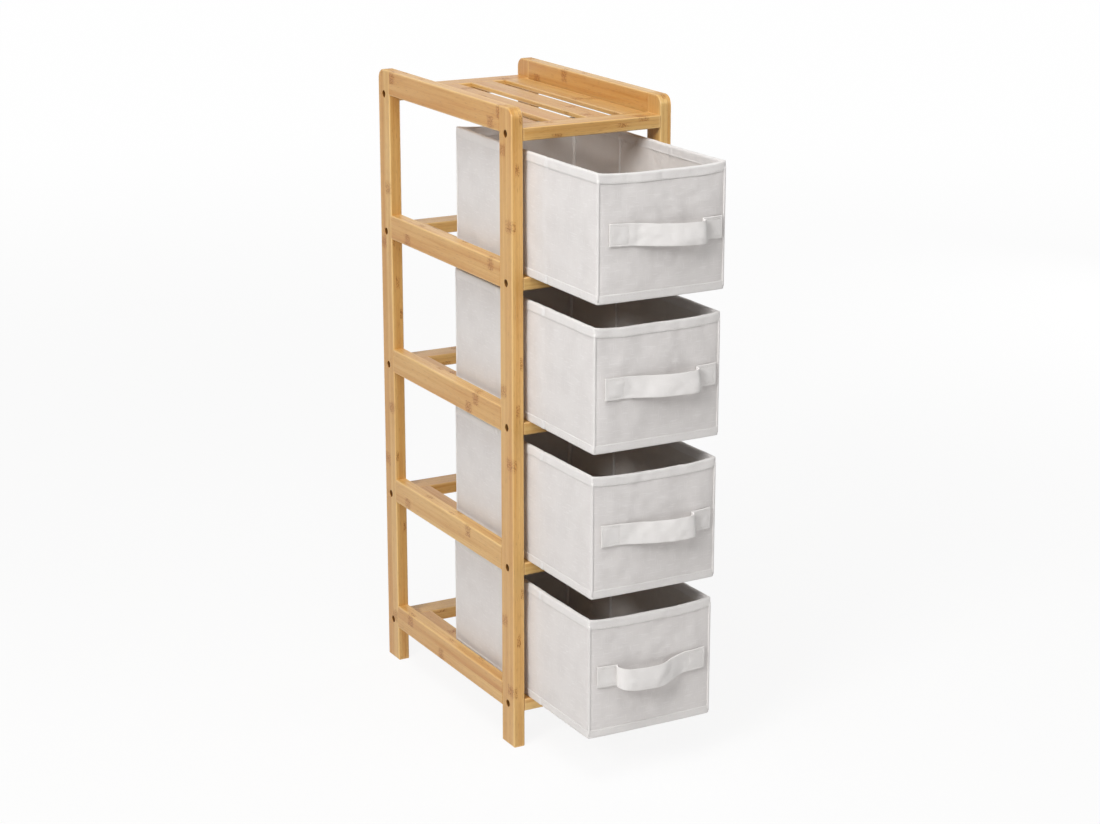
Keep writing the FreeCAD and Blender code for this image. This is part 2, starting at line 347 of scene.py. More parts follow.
@dataclass(frozen=True)
class BambooFinish:
    """Oiled laminated bamboo: glued strips and plies, fibres, flecks and growth rings."""

    pale: Triple = srgb(233, 195, 126)
    warm: Triple = srgb(211, 154, 76)
    # Paler near the edges, partly as rubbed wear and partly as a painted highlight
    rubbed_and_highlit: Triple = srgb(238, 205, 146)
    end_grain: Triple = (0.86, 0.80, 0.70)
    pore_shade: Triple = (0.52, 0.40, 0.28)
    # Painted shade: darkens the walls of the bolt holes as if they lay in shadow
    bore_painted_shade: Triple = (0.30, 0.21, 0.13)
    fibre_stain: Darkening = Darkening(0.38, (0.82, 0.71, 0.54))
    fleck_stain: Darkening = Darkening(0.55, (0.58, 0.43, 0.27))
    knuckle_stain: Darkening = Darkening(0.50, (0.90, 0.77, 0.58))
    ring_stain: Darkening = Darkening(0.95, (0.52, 0.35, 0.18))
    glue_stain: Darkening = Darkening(0.45, (0.66, 0.52, 0.38))
    streaks: Triple = (3.0, 95.0, 95.0)
    clouds: Triple = (7.0, 26.0, 26.0)
    rags: Triple = (90.0, 260.0, 260.0)
    fibres: Layer = Layer((9.0, 430.0, 430.0), 0.42, 0.66, 4.0, 0.62)
    flecks: Layer = Layer((75.0, 1150.0, 1150.0), 0.60, 0.72, 1.0)
    spots: Layer = Layer((520.0, 820.0, 820.0), 0.46, 0.60, 3.0)
    pores: Layer = Layer((20.0, 1500.0, 1500.0), 0.55, 0.68, 1.0)
    strip_share: float = 0.5
    streak_share: float = 1.7
    cloud_share: float = 0.7
    share_shift: float = 1.03
    strip_slide: float = 3.0
    tone_spread: float = 0.16
    glue_core: float = 0.0001
    strip_glue: Step = (0.00045, 0.45)
    ply_glue: Step = (0.0006, 1.0)
    ring_spacing: float = 0.33
    ring_reach: Step = (0.004, 0.0115)
    ring_rag: float = 0.010
    rub_and_highlight_reach: Step = (0.0004, 0.0032)
    rub_and_highlight_strength: float = 0.38
    end_facing: Step = (0.55, 0.95)
    end_share: float = 0.8
    pore_share: float = 0.7
    roughness: float = 0.34
    fibre_roughness: float = 0.10
    end_roughness: float = 0.16
    streak_height: float = 0.9
    fibre_height: float = 0.45
    fleck_height: float = -0.5
    glue_height: float = -1.0
    ring_height: float = 0.9
    relief: Relief = Relief(0.8, 0.00022)
    coat: float = 0.10
    coat_roughness: float = 0.32
    bolt_first: float = 0.061
    bolt_pitch: float = 0.201
    bore: float = 0.0053
    bore_reach: Step = (0.0001, 0.0005)
    bore_depth: Step = (0.0002, 0.0012)

    def bore_shade_share(self, n: NodeSheet, across: Socket, along: Socket, height: Socket,
                    half: float) -> Socket:
        """Return 1 on the drilled walls of a post's bolt holes, where shade is painted in, and 0 elsewhere.

        Args:
            n: The node sheet.
            across: The distance from the post's middle along the bolts.
            along: The distance from the bolts' line, to the front or back.
            height: The height over the floor.
            half: Half the post's thickness along the bolts.

        Returns:
            The share.
        """
        turns = n.math("DIVIDE", n.minus(height, self.bolt_first), self.bolt_pitch)
        off = n.times(n.minus(turns, n.math("ROUND", turns)), self.bolt_pitch)
        close, clear = (self.bore + reach for reach in self.bore_reach)
        near = n.ramp(n.distance(off, along), close, clear, 1.0, 0.0)
        deep = n.ramp(n.minus(half, n.unsigned(across)), *self.bore_depth)
        return n.times(near, deep)

    def glue_line(self, n: NodeSheet, count: Socket, pitch: Socket, look: Step) -> Socket:
        """Return how strongly the glue between two strips or two plies shows.

        Args:
            n: The node sheet.
            count: Which strip or ply a point lies in, with its fraction.
            pitch: How wide a strip or how thick a ply is.
            look: How far from the glue it shows, and how strongly.

        Returns:
            The strength.
        """
        reach, strength = look
        gap = n.times(n.minus(0.5, n.from_half(count)), pitch)
        return n.ramp(gap, self.glue_core, reach, strength, 0.0)

    def knuckle(self, n: NodeSheet, slid: Socket, pick: Socket, place: tuple) -> Socket:
        """Return how near a point is to the growth ring of its strip, from 0 to 1.

        Args:
            n: The node sheet.
            slid: The distance along the bar, moved by the strip's own amount.
            pick: The strip's own number, which moves its rings.
            place: The place in the bar, moved along in the same way.

        Returns:
            The share.
        """
        turn = n.plus(n.math("DIVIDE", slid, self.ring_spacing), pick)
        ragged = n.times(n.minus(n.stretched(place, self.rags), 0.5), self.ring_rag)
        away = n.plus(n.times(n.from_half(turn), self.ring_spacing), ragged)
        return n.ramp(away, *self.ring_reach, 1.0, 0.0)

    def rub_and_highlight_share(self, n: NodeSheet, place: tuple, halves: tuple) -> Socket:
        """Return how near a point is to an edge of its bar, where two faces meet.

        Args:
            n: The node sheet.
            place: The place in the bar, from its middle.
            halves: Half the bar's size each way.

        Returns:
            The share, from 0 to 1.
        """
        along, across, through = (n.ramp(n.minus(half, n.unsigned(part)), *self.rub_and_highlight_reach, 1.0, 0.0)
                                  for part, half in zip(place, halves))
        return n.larger(n.times(across, through), n.times(along, n.larger(across, through)))

    def grain_group(self) -> bpy.types.NodeTree:
        """Build the node group that every bar shares.

        Returns:
            The group, from a place in the bar to its colour, roughness and height.
        """
        name = "laminated_bamboo"
        if name in bpy.data.node_groups:
            return bpy.data.node_groups[name]
        tree = bpy.data.node_groups.new(name, "ShaderNodeTree")
        for label, kind in (("Place", "Vector"), ("Half", "Vector"), ("Facing", "Float"),
                            ("Seed", "Float"), ("Tone", "Float"), ("Strip", "Float"),
                            ("Ply", "Float")):
            tree.interface.new_socket(label, in_out="INPUT", socket_type=f"NodeSocket{kind}")
        for label, kind in (("Colour", "Color"), ("Roughness", "Float"), ("Height", "Float")):
            tree.interface.new_socket(label, in_out="OUTPUT", socket_type=f"NodeSocket{kind}")
        n = NodeSheet(tree)
        given = n.node("NodeGroupInput").outputs
        bare = along, across, through = n.split(given["Place"])
        halves = n.split(given["Half"])

        # Which strip and which ply a point lies in, and how near it is to a glue line
        strip = n.math("DIVIDE", n.plus(across, halves[1]), given["Strip"])
        ply = n.math("DIVIDE", n.plus(through, halves[2]), given["Ply"])
        cell = n.join(n.math("FLOOR", strip), n.math("FLOOR", ply), given["Seed"])
        own = n.node("ShaderNodeTexWhiteNoise", {0: cell}, noise_dimensions="3D")
        picks = n.node("ShaderNodeSeparateColor", {0: own.outputs["Color"]}).outputs
        line = n.larger(self.glue_line(n, strip, given["Strip"], self.strip_glue),
                        self.glue_line(n, ply, given["Ply"], self.ply_glue))

        # Long streaks, fine fibres, short dark flecks and mottled growth rings
        slid = n.plus(along, n.times(picks[0], self.strip_slide))
        place = (slid, across, through)
        streak = n.stretched(place, self.streaks)
        fibre = n.layer(place, self.fibres)
        fleck = n.layer(place, self.flecks)
        cloud = n.stretched(bare, self.clouds, 1.0)
        near = self.knuckle(n, slid, picks[1], place)
        ring = n.times(near, n.layer(bare, self.spots))

        # Rubbed edges, paler partly as wear and partly as a painted highlight, and end grain
        edge = self.rub_and_highlight_share(n, bare, halves)
        end = n.ramp(given["Facing"], *self.end_facing)
        pores = n.layer(bare, self.pores)

        share = n.plus(n.times(picks[2], self.strip_share), n.times(streak, self.streak_share),
                       n.times(cloud, self.cloud_share))
        share = n.math("ADD", n.minus(share, self.share_shift), given["Tone"], clamp=True)
        colour = n.tint(share, self.pale, self.warm)
        for amount, darken in ((fibre, self.fibre_stain), (fleck, self.fleck_stain),
                              (near, self.knuckle_stain), (ring, self.ring_stain),
                              (line, self.glue_stain)):
            colour = n.darken(amount, colour, darken)
        # Painted highlight along the edges, together with rubbed wear
        colour = n.tint(n.times(edge, self.rub_and_highlight_strength), colour, self.rubbed_and_highlit)
        grained = n.tint(n.times(pores, self.pore_share), self.end_grain, self.pore_shade)
        colour = n.tint(n.times(end, self.end_share), colour, grained, "MULTIPLY")

        rough = n.plus(self.roughness, n.times(fibre, self.fibre_roughness),
                       n.times(n.larger(ring, end), self.end_roughness))
        height = n.minus(n.times(streak, self.streak_height), n.times(fibre, self.fibre_height))
        height = n.plus(height, n.times(fleck, self.fleck_height), n.times(line, self.glue_height),
                        n.times(ring, self.ring_height))
        n.node("NodeGroupOutput", {"Colour": colour, "Roughness": rough, "Height": height})
        return tree

    def cut_for(self, name: str, grain: Grain, lowest: Vector, highest: Vector,
                strip: float, ply: float, tone: float) -> bpy.types.Material:
        """Make the finish of one bar, with its own strips, rings and tone.

        Args:
            name: The bar's name, which also seeds its pattern.
            grain: How the bar's grain lies.
            lowest: The bar's lowest corner.
            highest: The bar's highest corner.
            strip: How wide its strips are.
            ply: How thick its plies are.
            tone: How much darker than usual it is, from -1 to 1.

        Returns:
            The material.
        """
        material = bpy.data.materials.new(f"bamboo_{name}")
        n = cleared(material)
        draw = random.Random(name)
        centre, half = (lowest + highest) / 2, (highest - lowest) / 2
        coords = n.node("ShaderNodeTexCoord").outputs
        places = n.split(coords["Object"])
        parts = [n.minus(place, middle) for place, middle in zip(places, centre)]
        facing = n.split(coords["Normal"])[grain.value[0]]
        made = n.node("ShaderNodeGroup", {
            "Place": n.join(*(parts[axis] for axis in grain.value)),
            "Half": tuple(half[axis] for axis in grain.value),
            "Facing": n.unsigned(facing),
            "Seed": draw.uniform(1, 60),
            "Tone": tone + draw.uniform(-self.tone_spread, self.tone_spread),
            "Strip": strip,
            "Ply": ply,
        }, node_tree=self.grain_group()).outputs
        colour = made["Colour"]
        # Painted shade on the walls of the bolt holes, standing in for their shadow
        if grain is Grain.POST:
            hole_shade = self.bore_shade_share(n, parts[0], parts[1], places[2], half.x)
            colour = n.tint(hole_shade, colour, self.bore_painted_shade, "MULTIPLY")
        n.show(colour, made["Roughness"], made["Height"], self.relief,
               {"Coat Weight": self.coat, "Coat Roughness": self.coat_roughness})
        return material


@dataclass(frozen=True)
class SteelFinish:
    """Dull turned steel, with fine rings, stains and scratches."""

    name: str
    colour: Triple
    stained: Triple
    roughness: float
    stains: Layer = Layer((260.0, 260.0, 260.0), 0.4, 0.7, 4.0)
    turning: Triple = (300.0, 2600.0, 2600.0)
    stain_roughness: float = 0.25
    relief: Relief = Relief(0.5, 0.0001)

    def made(self) -> bpy.types.Material:
        """Build the material on the piece's own coordinates.

        Returns:
            The material.
        """
        material = bpy.data.materials.new(self.name)
        n = cleared(material)
        place = tuple(n.split(n.node("ShaderNodeTexCoord").outputs["Object"]))
        darken = n.layer(place, self.stains)
        rough = n.plus(self.roughness, n.times(darken, self.stain_roughness))
        n.show(n.tint(darken, srgb(*self.colour), srgb(*self.stained)), rough,
               n.stretched(place, self.turning), self.relief, {"Metallic": 1.0})
        return material


@dataclass(frozen=True)
class ClothFinish:
    """Plain-woven cloth with slubs both ways, soft soiling and a matt nap."""

    name: str
    colour: Triple
    shade: Triple
    bright: Triple
    slub: float = 0.34
    pitch: float = 0.0009
    sheen: float = 0.12
    weft: Layer = Layer((60.0, 620.0, 1.0), 0.56, 0.72)
    warp: Layer = Layer((620.0, 60.0, 1.0), 0.56, 0.72)
    wide: Layer = Layer((55.0, 320.0, 1.0), 0.62, 0.70, 1.0)
    soiling: Layer = Layer((26.0, 30.0, 1.0), 0.35, 0.7, 3.0)
    soiling_share: float = 0.24
    # Painted shade in the gaps between the threads of the weave
    thread_gap_shade: Darkening = Darkening(0.10, (0.80, 0.78, 0.76))
    thread_height: float = 0.35
    slub_height: float = 0.40
    roughness: float = 0.92
    slub_gloss: float = 0.14
    relief: Relief = Relief(0.55, 0.00020)
    sheen_roughness: float = 0.5
    specular: float = 0.25

    def woven(self, n: NodeSheet, along: Socket, up: Socket) -> Socket:
        """Return the height of the threads, which pass over each other in turn.

        Args:
            n: The node sheet.
            along: The place along the cloth.
            up: The place up the cloth.

        Returns:
            The height, from 0 to 1.
        """
        turns = [n.times(part, math.pi / self.pitch) for part in (along, up)]
        ridge = [n.unsigned(n.math("SINE", turn)) for turn in turns]
        cell = [n.math("FLOOR", n.math("DIVIDE", part, self.pitch)) for part in (along, up)]
        odd = n.unsigned(n.math("MODULO", n.plus(*cell), 2.0))
        return n.node("ShaderNodeMix", {0: odd, 2: ridge[0], 3: ridge[1]}).outputs[0]

    def made(self) -> bpy.types.Material:
        """Build the material on the piece's own weave map, which is in metres.

        Returns:
            The material.
        """
        material = bpy.data.materials.new(self.name)
        n = cleared(material)
        along, up, _ = n.split(n.node("ShaderNodeUVMap", uv_map=WEAVE_MAP).outputs[0])
        place = (along, up, 0.0)
        weave = self.woven(n, along, up)
        slubs = n.larger(n.larger(n.layer(place, self.weft), n.layer(place, self.warp)),
                         n.layer(place, self.wide))
        soiled = n.times(n.layer(place, self.soiling), self.soiling_share)
        colour = n.tint(soiled, srgb(*self.colour), srgb(*self.shade))
        colour = n.tint(n.times(slubs, self.slub), colour, srgb(*self.bright))
        # Painted shade: darker where the weave is low, between the threads
        colour = n.darken(n.minus(1.0, weave), colour, self.thread_gap_shade)
        height = n.plus(n.times(weave, self.thread_height), n.times(slubs, self.slub_height))
        rough = n.minus(self.roughness, n.times(slubs, self.slub_gloss))
        n.show(colour, rough, height, self.relief,
               {"Sheen Weight": self.sheen, "Sheen Roughness": self.sheen_roughness,
                "Specular IOR Level": self.specular})
        return material


@dataclass(frozen=True)
class BoardFinish:
    """Grey pressed paperboard with loose fibres."""

    name: str = "pressed_board"
    colour: Triple = (150, 139, 124)
    fibre: Triple = (112, 101, 88)
    lint: Layer = Layer((420.0, 420.0, 420.0), 0.48, 0.66, 4.0, 0.7)
    roughness: float = 0.8
    lint_roughness: float = 0.12
    relief: Relief = Relief(0.4, 0.0002)

    def made(self) -> bpy.types.Material:
        """Build the material on the piece's own coordinates.

        Returns:
            The material.
        """
        material = bpy.data.materials.new(self.name)
        n = cleared(material)
        lint = n.layer(tuple(n.split(n.node("ShaderNodeTexCoord").outputs["Object"])), self.lint)
        n.show(n.tint(lint, srgb(*self.colour), srgb(*self.fibre)),
               n.plus(self.roughness, n.times(lint, self.lint_roughness)), lint, self.relief)
        return material


# Meshes

def lay_weave(bm: bmesh.types.BMesh) -> None:
    """Give each face a place on the weave map, in metres, along its own wall.

    Args:
        bm: The mesh.
    """
    layer = bm.loops.layers.uv.new(WEAVE_MAP)
    bm.normal_update()
    for face in bm.faces:
        size = [abs(part) for part in face.normal]
        for loop in face.loops:
            x, y, z = loop.vert.co
            if size[2] > max(size[0], size[1]):
                loop[layer].uv = (x, y)
            elif size[0] > size[1]:
                loop[layer].uv = (y + WEAVE_SIDE, z)
            else:
                loop[layer].uv = (x + WEAVE_END, z)


def turn_faces(bm: bmesh.types.BMesh, top: bool, up: bool) -> None:
    """Make all faces point one way, told by the highest or the lowest of them.

    Args:
        bm: The mesh.
        top: Whether the highest face tells, and not the lowest.
        up: Whether that face has to look up.
    """
    bmesh.ops.recalc_face_normals(bm, faces=list(bm.faces))
    pick = max if top else min
    sign = pick(bm.faces, key=lambda face: face.calc_center_median().z)
    if (sign.normal.z > 0) != up:
        bmesh.ops.reverse_faces(bm, faces=list(bm.faces))


def new_mesh(bm: bmesh.types.BMesh, name: str) -> bpy.types.Mesh:
    """Turn a bmesh into a mesh.

    Args:
        bm: The bmesh, which is freed.
        name: The mesh's name.

    Returns:
        The mesh.
    """
    mesh = bpy.data.meshes.new(name)
    bm.to_mesh(mesh)
    bm.free()
    return mesh


def put(name: str, data: bpy.types.ID) -> bpy.types.Object:
    """Put a mesh, a lamp or a camera into the scene.

    Args:
        name: The new object's name.
        data: What the object holds.

    Returns:
        The object.
    """
    made = bpy.data.objects.new(name, data)
    bpy.context.scene.collection.objects.link(made)
    return made


def new_piece(bm: bmesh.types.BMesh, name: str, body: str,
              material: bpy.types.Material) -> bpy.types.Object:
    """Turn a finished mesh into a piece of the object.

    Args:
        bm: The mesh, which is freed.
        name: The piece's name.
        body: The CAD body that it rides on.
        material: Its material.

    Returns:
        The new object.
    """
    mesh = new_mesh(bm, name)
    mesh.materials.append(material)
    mesh.shade_smooth()
    piece = put(name, mesh)
    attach(piece, body)
    LOG.info("%s: %d faces on %s", name, len(mesh.polygons), body)
    return piece


def thicken(piece: bpy.types.Object, thickness: float, offset: float) -> None:
    """Give a cloth or a board its thickness.

    Args:
        piece: The cloth or board.
        thickness: How thick it gets.
        offset: Where its mesh lies in it, from -1 for the outer side to 1.
    """
    wall = piece.modifiers.new("thickness", "SOLIDIFY")
    wall.thickness = thickness
    wall.offset = offset


class DrawerLooks:
    """The finishes that the four drawers share."""

    def __init__(self) -> None:
        """Make the materials once."""
        self.cover = ClothFinish("linen_cover", (226, 222, 220), (207, 202, 200),
                                 (240, 237, 236)).made()
        self.lining = ClothFinish("lining_cloth", (226, 221, 217), (214, 208, 203),
                                  (234, 230, 227), slub=0.15, sheen=0.05).made()
        self.band = ClothFinish("bound_edge_cloth", (231, 228, 226), (214, 210, 208),
                                (240, 238, 237), slub=0.22, pitch=0.0007).made()
        self.strap = ClothFinish("strap_webbing", (232, 229, 227), (217, 213, 210),
                                 (240, 238, 236), slub=0.20, pitch=0.0011, sheen=0.2).made()
        self.piping = ClothFinish("seam_piping_cloth", (243, 241, 239), (232, 229, 226),
                                  (247, 246, 245), slub=0.15, pitch=0.0006).made()
        self.thread = ClothFinish("sewing_thread", (224, 220, 217), (198, 193, 189),
                                  (234, 231, 228), slub=0.2, pitch=0.0004).made()
        self.board = BoardFinish().made()


class HandleShape(Enum):
    """How a strap's loop stands: its knots as (across, out, drop) in millimetres."""

    FOLDED_RIGHT = ((-54, 1.5, 0), (-45, 2.5, 0.2), (-32, 5.9, 0.7), (-12, 11.3, 1.5), (12, 15.5, 2.0),
                    (33, 17.3, 2.2), (46, 16.9, 2.0), (52.2, 13.6, 1.4), (53.6, 8.0, 0.7), (53.2, 3.6, 0.2),
                    (54, 1.6, 0))
    FOLDED_LEFT = ((-54, 1.6, 0), (-55.2, 5.0, 0.6), (-54.0, 11.0, 2.0), (-47, 16.0, 4.0), (-31, 18.2, 6.0),
                   (-8, 18.0, 7.0), (10, 15.6, 6.6), (25, 10.4, 4.2), (38, 5.2, 1.8), (47, 2.4, 0.5),
                   (54, 1.6, 0))


@dataclass(frozen=True)
class Dents:
    """Noise that dents a drawer: its depth, its cells in a metre level and upwards, its shift."""

    depth: float
    level: float
    rise: float
    shift: float = 1.0


@dataclass
class FabricDrawer:
    """A soft drawer: cloth sewn over stiff boards, with a bound rim, a hemmed foot and a strap."""

    number: int
    front: float
    foot: float
    handle: HandleShape
    handle_shift: float
    handle_tilt: float
    width: float = 0.190
    depth: float = 0.395
    height: float = 0.170
    corner: float = 0.003
    corner_core: float = 0.009
    corner_steps: int = 4
    least_corner: float = 0.0012
    corner_loss: float = 0.4
    long_edge: float = 0.05
    cell: float = 0.0045
    band_cell: float = 0.003
    cover: float = 0.0012
    board: float = 0.0025
    lining: float = 0.0008
    foot_inset: float = 0.0012
    foot_rise: float = 0.001
    foot_round: tuple[Step, ...] = ((0.0008, 0.0003), (0.0004, 0.0007))
    rim_room: float = 0.003
    lining_less: float = 0.02
    lining_share: float = 0.94
    board_room: float = 0.010
    end_board_room: float = 0.012
    fold_gap: float = 0.005
    base_board_room: float = 0.014
    board_share: float = 0.92
    wall_cells: tuple[int, int] = (16, 14)
    base_cells: tuple[int, int] = (8, 16)
    skim: float = 0.0001
    band_height: float = 0.013
    band_cloth: float = 0.0008
    band_share: float = 0.7
    band_crown: float = 0.0019
    band_curve: float = 0.0024
    band_turn: float = 0.0005
    band_start: float = 0.8
    band_lap: float = 0.3
    band_end: float = 0.9
    band_rows: int = 5
    band_bends: int = 6
    band_pucker: Dents = Dents(0.00028, 120.0, 60.0)
    hem_height: float = 0.012
    hem_cloth: float = 0.0005
    hem_turn: float = 0.0004
    hem_curve: float = 0.0016
    hem_under: tuple[Step, ...] = ((-0.0004, -0.0007), (-0.0010, -0.0005), (-0.0014, -0.0001),
                                   (-0.004, 0.0))
    hem_return: float = 0.007
    hem_pucker: Dents = Dents(0.00022, 120.0, 60.0)
    rim_sag: float = 0.0038
    side_sag: float = 0.0014
    rim_wave: Dents = Dents(0.0007, 17.0, 17.0, 2.0)
    bow: float = 0.0016
    bulge: float = 0.0016
    dents: tuple[Dents, ...] = (Dents(0.0015, 13.0, 13.0), Dents(0.0013, 36.0, 32.0),
                                Dents(0.00085, 84.0, 84.0, -1.0))
    side_stiffness: float = 0.5
    foot_zone: Step = (0.0, 0.16)
    hem_zone: Step = (0.09, 0.05)
    rim_zone: Step = (0.90, 0.94)
    notch_zone: Step = (0.90, 0.98)
    sag_zone: Step = (0.3, 1.0)
    wave_zone: Step = (0.5, 1.0)
    tuck: float = 0.0006
    banded_tuck: float = 0.0012
    tuck_width: float = 0.0024
    tuck_ridge: float = 0.0009
    ridge_place: float = 0.0042
    ridge_width: float = 0.0026
    rim_notch: float = 0.0009
    cord_rows: int = 34
    cord_sides: int = 10
    cord_top_room: float = 0.008
    corner_cord: Step = (0.0017, 0.0010)
    corner_cord_in: float = 0.0015
    lining_cord: Step = (0.0023, 0.0023)
    crease: Step = (0.0014, 0.0013)
    crease_in: float = 0.0005
    cord_wander: Dents = Dents(0.00014, 9.0, 26.0)
    strap_width: float = 0.030
    strap_rise: float = 0.0873
    strap_cloth: float = 0.0020
    strap_edge: float = 0.0005
    strap_lean: float = 0.16
    strap_curl: float = 0.0009
    strap_wave: float = 0.0006
    wave_rates: Step = (60.0, 70.0)
    sewn_wave: float = 0.4
    loose_wave: float = 0.6
    strap_seat: float = 0.0013
    strap_lift: float = 0.0009
    strap_rows: int = 20
    loop_rows: int = 6
    loose_reach: Step = (0.0110, 0.0018)
    tab: float = 0.030
    tab_start: float = 0.054
    tab_level: float = 0.0014
    tab_seam_in: float = 0.0032
    tab_edge: float = 0.001
    dip: float = 0.00028
    dip_noise: float = 0.00030
    dip_width: float = 0.0011
    dip_rate: float = 260.0
    stitch_pitch: float = 0.0046
    stitch_share: float = 0.62
    stitch_end: float = 0.005
    stitch_drop: float = 0.0022
    rim_proud: float = 1.1
    hem_proud: float = 1.3
    thread: float = 0.00030
    tab_stitch: float = 0.0021
    tab_stitches: int = 8
    tab_proud: float = 0.0032

    def __post_init__(self) -> None:
        """Work out what the sizes give, and the drawer's own dents."""
        draw = random.Random(f"drawer {self.number}")
        self.seed = Vector((draw.uniform(1, 90), draw.uniform(1, 90), draw.uniform(1, 90)))
        self.wall = self.cover + self.board + self.lining
        self.tab_place = self.tab_start + self.tab / 2
        self.tab_reach = self.tab / 2 - self.tab_seam_in
        self.body = f"drawer_{self.number}"
        self.middle = Vector((0.0, self.front + self.depth / 2, self.foot))

    def dent(self, at: Vector, dents: Dents) -> float:
        """Return how far the drawer's own noise pushes a point out or in."""
        place = Vector((at.x * dents.level, at.y * dents.level, at.z * dents.rise))
        return dents.depth * noise.noise(place + self.seed * dents.shift)

    def outward(self, at: Vector) -> Vector:
        """Return which way the nearest wall faces, level, at a point of the drawer.

        Args:
            at: The point, from the middle of the drawer's foot.

        Returns:
            The way, of length 1, or no way at all for a point deep inside.
        """
        core = Vector((self.width / 2 - self.corner_core, self.depth / 2 - self.corner_core))
        inner = Vector((min(core.x, max(-core.x, at.x)), min(core.y, max(-core.y, at.y)), at.z))
        away = at - inner
        return away.normalized() if away.length > NO_LENGTH else Vector((0.0, 0.0, 0.0))

    def give(self, at: Vector) -> Vector:
        """Work out how far the cloth and boards give from their flat shape.

        Args:
            at: A point of the drawer, from the middle of its foot.

        Returns:
            How far the point moves.
        """
        out = self.outward(at)
        rise = min(1.0, max(0.0, at.z / self.height))
        side, end = out.x * out.x, out.y * out.y
        ax, ay = abs(at.x) / (self.width / 2), abs(at.y) / (self.depth / 2)
        full_end, full_side = max(0.0, 1 - ax ** 4), max(0.0, 1 - ay ** 4)
        belly = math.sin(math.pi * rise) ** 0.8 if 0 < rise < 1 else 0.0
        swell = self.bulge * belly * (full_end * end + full_side * side) + self.bow * full_end * end
        free = (1 - min(ax, ay) ** 8) * ease(rise, *self.foot_zone) * (1 - self.side_stiffness * side)
        swell += free * sum(self.dent(at, dents) for dents in self.dents)

        # Tucks with a ridge beside them, where the side walls fold
        banded = max(ease(rise, *self.rim_zone), ease(rise, *self.hem_zone))
        notch = 0.0
        for fold in (-self.depth / 6, self.depth / 6):
            tuck = math.exp(-((at.y - fold) / self.tuck_width) ** 2)
            ridge = math.exp(-((at.y - fold - self.ridge_place) / self.ridge_width) ** 2)
            swell -= side * (self.tuck + self.banded_tuck * banded) * tuck
            swell += side * self.tuck_ridge * banded * ridge
            notch += side * self.rim_notch * ease(rise, *self.notch_zone) * tuck
        sunk = self.rim_sag * full_end * end + self.side_sag * full_side * side
        sag = ease(rise, *self.sag_zone) * sunk
        sag += ease(rise, *self.wave_zone) * self.dent(at, self.rim_wave) * (side + end)
        return out * swell - UP * (sag + notch)

    def on_wall(self, at: Vector) -> Vector:
        """Return where a point of the flat-walled drawer really lies."""
        return at + self.give(at) + self.middle

    def settle(self, bm: bmesh.types.BMesh) -> None:
        """Move a flat-walled mesh to the drawer's real, slightly soft shape and place."""
        for vert in bm.verts:
            vert.co = self.on_wall(vert.co)

    def push(self, bm: bmesh.types.BMesh, dents: Dents) -> None:
        """Push a flat-walled mesh in and out a little, before it is settled."""
        for vert in bm.verts:
            vert.co += self.outward(vert.co) * self.dent(vert.co, dents)

    def plan_loop(self, bm: bmesh.types.BMesh, inset: float, level: float, cell: float,
                  keep_face: bool) -> list[bmesh.types.BMEdge]:
        """Lay out the drawer's plan, with rounded corners, as one loop of short edges.

        Args:
            bm: The mesh to add it to.
            inset: How far inside the outer face it runs.
            level: Its height over the drawer's foot.
            cell: About how long its edges are.
            keep_face: Whether the face inside it stays.

        Returns:
            The loop's edges.
        """
        made = bmesh.ops.create_grid(bm, x_segments=1, y_segments=1, size=0.5)["verts"]
        bmesh.ops.scale(bm, verts=made, vec=(self.width - 2 * inset, self.depth - 2 * inset, 1.0))
        bmesh.ops.translate(bm, verts=made, vec=(0.0, 0.0, level))
        radius = max(self.least_corner, self.corner - inset * self.corner_loss)
        bmesh.ops.bevel(bm, geom=made, offset=radius, offset_type="OFFSET",
                        segments=self.corner_steps, profile=0.5, affect="VERTICES", material=-1)
        for edge in [e for e in bm.edges if e.calc_length() > self.long_edge]:
            cuts = round(edge.calc_length() / cell) - 1
            bmesh.ops.subdivide_edges(bm, edges=[edge], cuts=cuts)
        if not keep_face:
            bmesh.ops.delete(bm, geom=list(bm.faces), context="FACES_ONLY")
        return list(bm.edges)

    def sweep(self, bm: bmesh.types.BMesh, loop: list[bmesh.types.BMEdge],
              steps: list[Step]) -> list[bmesh.types.BMEdge]:
        """Extrude a loop step by step to make walls, bands and hems.

        Args:
            bm: The mesh.
            loop: The loop's edges.
            steps: How far out and how far up each row goes.

        Returns:
            The last row's edges.
        """
        for out, rise in steps:
            geometry = bmesh.ops.extrude_edge_only(bm, edges=loop)["geom"]
            fresh = {g for g in geometry if isinstance(g, bmesh.types.BMVert)}
            loop = [g for g in geometry if isinstance(g, bmesh.types.BMEdge) and set(g.verts) <= fresh]
            for vert in fresh:
                vert.co += self.outward(vert.co) * out + UP * rise
        return loop

    def wall_sheet(self, name: str, material: bpy.types.Material, inset: float,
                   level: float, inside: bool) -> bpy.types.Object:
        """Build the cover or the lining: four walls and a base of one cloth.

        Args:
            name: The piece's name.
            material: Its material.
            inset: How far inside the outer face it runs.
            level: Its base's height over the foot.
            inside: Whether its finished side faces the inside.

        Returns:
            The piece.
        """
        bm = bmesh.new()
        loop = self.plan_loop(bm, inset + self.foot_inset, level, self.cell, True)
        tall = self.height - self.rim_room - level - self.foot_rise
        rows = round(tall / self.cell)
        self.sweep(bm, loop, list(self.foot_round) + [(0.0, tall / rows)] * rows)
        turn_faces(bm, False, inside)
        lay_weave(bm)
        self.settle(bm)
        return new_piece(bm, f"{self.body}_{name}", self.body, material)

    def cover_and_lining(self, looks: DrawerLooks) -> None:
        """Args:
            looks: The drawers' materials.
        """
        shell = self.wall_sheet("sewn_cover", looks.cover, 0.0, 0.0, False)
        thicken(shell, self.cover, -1.0)
        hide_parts(f"{self.body}_cover")
        skin = self.wall_sheet("sewn_lining", looks.lining, self.wall, self.wall, True)
        thicken(skin, self.lining, -1.0)
        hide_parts(f"{self.body}_lining")

